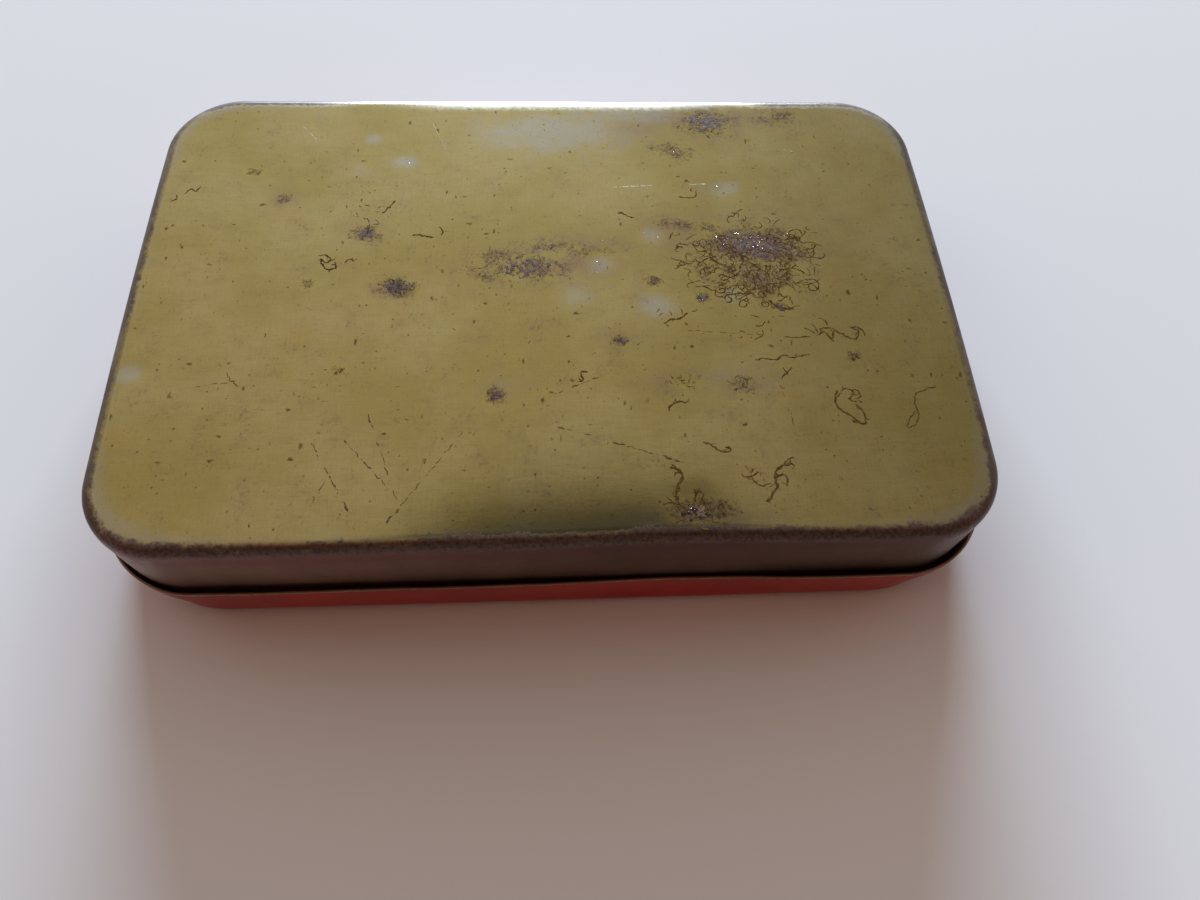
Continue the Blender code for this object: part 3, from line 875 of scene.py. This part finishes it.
def ridge(solid, path, width, height, rng, taper=2.0):
    """A low rounded welt along a path on the panel, uneven in width and sunk in at its ends."""
    count = len(path)
    along = np.arange(count)
    forward = np.gradient(path, axis=0)
    forward /= np.maximum(np.hypot(*forward.T), 1e-9)[:, None]
    side = np.stack((-forward[:, 1], forward[:, 0]), 1)
    phase = rng.uniform(0, 6)
    swell = 0.80 + 0.22 * np.sin(along * 0.55 + phase) + 0.20 * np.sin(along * 2.3 + 2 * phase)
    ends = np.clip(np.minimum(along, count - 1 - along) / taper, 0.15, 1)
    half = width / 2 * swell * ends
    level = TOP + panel_level(path)
    rows = []
    for place, lift in ((-1.0, -0.4), (-0.62, 0.62), (0.0, 1.0), (0.62, 0.62), (1.0, -0.4)):
        rise = height * lift * (1.0 if lift < 0 else ends)
        rows.append(solid.add(at_level(path + side * (half * place)[:, None], level + rise)))
    for a, b in zip(rows, rows[1:]):
        for k in range(count - 1):
            solid.face((a[k], a[k + 1], b[k + 1], b[k]))


def roughened(path, reach=0.055):
    """A track with small uneven kinks."""
    flat = at_level(path)
    return path + reach * np.column_stack((fractal(flat, 0.42, 3, 14.0), fractal(flat, 0.42, 3, 15.0)))


def on_panel(points, clear):
    """Which points are further inside the tray's rounded edge than clear."""
    return inset_of(points, TRAY_HALF, TRAY_CORNER) > TRAY_EDGE + clear


def spot_in(rng, x, y, long_half, wide_half):
    """A place drawn evenly from an oval."""
    angle, out = rng.uniform(0, 2 * math.pi), math.sqrt(rng.random())
    return x + long_half * out * math.cos(angle), y + wide_half * out * math.sin(angle)


def build_tracks():
    rng = random.Random(4)
    tracks = Solid()
    for width, *places in WORMS:
        path = roughened(smooth_path(np.array(places, float).reshape(-1, 2), 0.09), 0.14)
        ridge(tracks, path, width * 1.3, 0.014, rng)
        for _ in range(int(len(path) * (width - 0.12) * 0.8)):
            twig = wandering_path(rng, path[rng.randrange(len(path))], rng.uniform(0.25, 1.1))
            if on_panel(twig, 0.3).all():
                ridge(tracks, roughened(twig), rng.uniform(0.13, 0.24), 0.011, rng)
    for *oval, count, longest, width in NESTS:
        for _ in range(count):
            path = wandering_path(rng, spot_in(rng, *oval), rng.uniform(0.25, 1.0) * longest)
            if on_panel(path, 0.3).all():
                ridge(tracks, roughened(path), width * rng.uniform(0.65, 1.25), 0.011, rng)
    made = rust_material("rust_track_brown", (0.052, 0.029, 0.009), (0.112, 0.068, 0.022))
    tracks.build("rust_tracks", [made], "tray", "gold_lacquer")


def scratches(rng, rows, kink, height, kept):
    """Scratches broken into runs of uneven width, of which that share is kept."""
    made = Solid()
    for *ends, width in rows:
        start, end = np.array(ends).reshape(2, 2)
        steps = max(6, int(np.linalg.norm(end - start) / 0.12))
        path = roughened(start + (end - start) * np.linspace(0, 1, steps)[:, None], kink)
        at = 0
        while at < steps - 2:
            run = rng.randint(3, 12)
            piece = path[at : at + run]
            if rng.random() < kept and len(piece) > 2:
                ridge(made, piece, width * rng.uniform(0.7, 1.9), height, rng, 1.5)
            at += run
    return made


def build_scratches():
    """Old scratches: the dark ones rusted and ragged, the bright ones faint."""
    rng = random.Random(8)
    dark = rust_material("scratch_dark", (0.075, 0.050, 0.020), (0.130, 0.092, 0.040))
    pale = bare_tin("scratch_bright", (0.34, 0.31, 0.23), 0.62)
    rusted = scratches(rng, DARK_SCRATCHES, 0.16, 0.009, 0.74)
    faint = scratches(rng, BRIGHT_SCRATCHES, 0.03, 0.0025, 0.8)
    rusted.build("dark_scratches", [dark], "tray", "gold_lacquer")
    faint.build("bright_scratches", [pale], "tray", "gold_lacquer")


CRUST_NET = 0.11
CRUST_SUNK, CRUST_PROUD = -0.015, 0.035


def build_crusts():
    """Blistered rust: low rough islands, each a small net of faces that dips under the panel at its shore."""
    crust = Solid()
    for x, y, long_half, wide_half, strength, deep in CRUSTS:
        xs = np.arange(-1.5 * long_half, 1.5 * long_half, CRUST_NET)
        ys = np.arange(-1.5 * wide_half, 1.5 * wide_half, CRUST_NET)
        gx, gy = np.meshgrid(xs, ys)
        spot = np.column_stack((gx.ravel() + x, gy.ravel() + y))
        away = (gx.ravel() / long_half) ** 2 + (gy.ravel() / wide_half) ** 2
        rough = fractal(at_level(spot), 0.55, 4, 9.0)
        height = np.clip(0.020 * (rough + 0.34 * strength - 0.55 * away), CRUST_SUNK, CRUST_PROUD)
        height = np.where(on_panel(spot, 0.2), height, CRUST_SUNK)
        numbers = crust.add(at_level(spot, TOP + panel_level(spot) + height), deep).reshape(gx.shape)
        high = (height > 0).reshape(gx.shape)
        for j in range(gx.shape[0] - 1):
            for i in range(gx.shape[1] - 1):
                if high[j : j + 2, i : i + 2].any():
                    crust.face((numbers[j, i], numbers[j, i + 1], numbers[j + 1, i + 1], numbers[j + 1, i]))
    used = sorted({n for face in crust.faces for n in face})
    renumber = {old: new for new, old in enumerate(used)}
    crust.points = crust.points[used]
    crust.edge = crust.edge[used]
    crust.faces = [tuple(renumber[n] for n in face) for face in crust.faces]
    made = rust_material("rust_crust_purple", (0.055, 0.032, 0.024), (0.165, 0.108, 0.090), 0.45, 0.08)
    crust.build("rust_crusts", [made], "tray", "gold_lacquer")


def build_glints():
    """Flakes of bright tin standing at odd angles where the lacquer has lifted."""
    rng = random.Random(21)
    flakes = Solid()
    for x, y, reach, count in GLINTS:
        for _ in range(count):
            angle, out = rng.uniform(0, 2 * math.pi), math.sqrt(rng.random()) * reach
            centre = np.array((x + out * math.cos(angle), y + min(out, 26) * math.sin(angle)))
            size = rng.uniform(0.035, 0.085)
            lean = np.array((rng.uniform(-0.6, 0.6), rng.uniform(-0.6, 0.6)))
            level = TOP + panel_level(centre[None, :])[0]
            around = []
            for k in range(6):
                turn = k * math.pi / 3 + rng.uniform(-0.3, 0.3)
                around.append(size * rng.uniform(0.7, 1.2) * np.array((math.cos(turn), math.sin(turn))))
            around = np.array(around)
            base = flakes.add(at_level(centre + around, level - 0.01))
            top = flakes.add(at_level(centre + 0.6 * around, level + 0.05 + 0.6 * around @ lean))
            flakes.strip(top, base)
            flakes.face(top)
    pale = bare_tin("flake_tin", (0.80, 0.80, 0.84), 0.28)
    obj = flakes.build("bright_flakes", [pale], "tray", "gold_lacquer")
    obj.data.shade_flat()


# ---------------------------------------------------------------- stage, light and camera, in metres

FLOOR_REACH, FLOOR_LEVEL = 3.0, -0.00002
CARD_HALF, CARD_PLACE = (0.065, 0.036), (0.0105, 0.0330, 0.215)
WINDOW_SIZE, WINDOW_PLACE, WINDOW_TARGET = (2.08, 0.99), (0.0, 3.2, 0.70), (0, 0, 0.01)
WINDOW_POWER, WINDOW_COLOUR = 348.0, (0.74, 0.875, 1.0)
ROOM_LIGHT = [  # the sine of how far a direction leans away from the viewer, and the light from there
    (-0.86, (0.360, 0.305, 0.260)),
    (-0.52, (0.135, 0.024, 0.008)),
    (-0.30, (0.135, 0.024, 0.008)),
    (0.00, (0.415, 0.255, 0.170)),
    (0.34, (0.570, 0.505, 0.430)),
    (0.62, (0.715, 0.670, 0.625)),
    (0.82, (0.880, 0.890, 0.940)),
]
CAMERA_AZIMUTH, CAMERA_ELEVATION, CAMERA_ROLL = -6.93, 62.37, 5.02  # degrees
CAMERA_DISTANCE, CAMERA_AIM = 91.05, (4.97, -21.09)  # millimetres, from and on the panel's level
CAMERA_LENS, SENSOR = 26.0, 36.0


def flat_piece(name, corners, place, shader, tone):
    """A flat face of the studio, which is no part of the tin."""
    mesh = bpy.data.meshes.new(name)
    mesh.from_pydata(corners, [], [tuple(range(len(corners)))])
    shader.set("Base Color", tone)
    mesh.materials.append(shader.material)
    made = add_object(name, mesh)
    made.location = place
    return made


def stage():
    """A pale floor, and a dark card over the tin that shows only as a reflection at the panel's front."""
    corners = [(FLOOR_REACH * x, FLOOR_REACH * y, 0.0) for x, y in ((-1, -1), (1, -1), (1, 1), (-1, 1))]
    pale = Shader("floor_pale", roughness=0.9, specular_ior_level=0.1)
    floor = flat_piece("floor", corners, (0.0, 0.0, FLOOR_LEVEL), pale, (0.680, 0.702, 0.738))
    turns = np.linspace(0, 2 * math.pi, 48, endpoint=False)
    oval = [(CARD_HALF[0] * math.cos(t), CARD_HALF[1] * math.sin(t), 0.0) for t in turns]
    black = Shader("card_black", roughness=0.9)
    card = flat_piece("dark_card", oval, CARD_PLACE, black, (0.02, 0.02, 0.02))
    for light in ("camera", "diffuse", "shadow", "transmission"):
        setattr(card, "visible_" + light, False)


def window():
    """The cool low window beyond the tin."""
    light = bpy.data.lights.new("window", "AREA")
    light.shape = "RECTANGLE"
    light.size, light.size_y = WINDOW_SIZE
    light.energy = WINDOW_POWER
    light.color = WINDOW_COLOUR
    made = add_object("window", light)
    made.location = WINDOW_PLACE
    made.rotation_euler = (Vector(WINDOW_TARGET) - made.location).to_track_quat("-Z", "Y").to_euler()


def room():
    """Soft light from all round: palest beyond the tin, dim and warm on the near side and on the right."""
    world = bpy.data.worlds.new("room")
    world.use_nodes = True
    tree = world.node_tree
    direction = put(tree, "ShaderNodeTexCoord").outputs["Generated"]

    def lean(way):
        dot = {"operation": "DOT_PRODUCT"}
        return put(tree, "ShaderNodeVectorMath", dot, i0=direction, i1=way).outputs["Value"]

    def share(value, low, high, kind="SMOOTHSTEP"):
        smooth = {"interpolation_type": kind}
        found = put(tree, "ShaderNodeMapRange", smooth, Value=value, From_Min=low, From_Max=high)
        return found.outputs["Result"]

    def added(value, factor, to):
        props = {"operation": "MULTIPLY_ADD"}
        return put(tree, "ShaderNodeMath", props, i0=value, i1=factor, i2=to).outputs[0]

    ramp = put(tree, "ShaderNodeValToRGB", Fac=share(lean((0.0, 1.0, 0.0)), -1.0, 1.0, "LINEAR"))
    stops = ramp.color_ramp.elements
    while len(stops) < len(ROOM_LIGHT):
        stops.new(0.5)
    for stop, (away, light) in zip(stops, ROOM_LIGHT):
        stop.position = (away + 1) / 2
        stop.color = (*light, 1.0)
    sideways = lean((1.0, 0.0, 0.0))
    dimmed = added(share(sideways, -0.05, 0.55), -0.5, 1.0)
    apart = put(tree, "ShaderNodeMath", {"operation": "ABSOLUTE"}, i0=sideways).outputs[0]
    background = tree.nodes["Background"]
    wire(tree, background.inputs["Color"], ramp.outputs["Color"])
    wire(tree, background.inputs["Strength"], added(share(apart, 0.45, 0.9), 1.45, dimmed))
    bpy.context.scene.world = world


def place_camera():
    azimuth, elevation, roll = map(math.radians, (CAMERA_AZIMUTH, CAMERA_ELEVATION, CAMERA_ROLL))
    flat = math.cos(elevation)
    back = Vector((math.sin(azimuth) * flat, -math.cos(azimuth) * flat, math.sin(elevation)))
    level = Vector((0, 0, 1)).cross(back).normalized()
    upward = back.cross(level)
    right = level * math.cos(roll) + upward * math.sin(roll)
    top = upward * math.cos(roll) - level * math.sin(roll)
    data = bpy.data.cameras.new("camera")
    data.lens, data.sensor_width = CAMERA_LENS, SENSOR
    data.clip_start, data.clip_end = 0.005, 20.0
    camera = add_object("camera", data)
    place = Vector((*CAMERA_AIM, TOP)) + back * CAMERA_DISTANCE
    turned = Matrix((right, top, back)).transposed().to_4x4()
    camera.matrix_world = Matrix.Translation(place * MM) @ turned
    bpy.context.scene.camera = camera


build_tray()
build_lid()
build_polish()
build_liner()
build_tracks()
build_scratches()
build_crusts()
build_glints()
stage()
window()
room()
place_camera()
bpy.context.scene.view_settings.view_transform = "Standard"
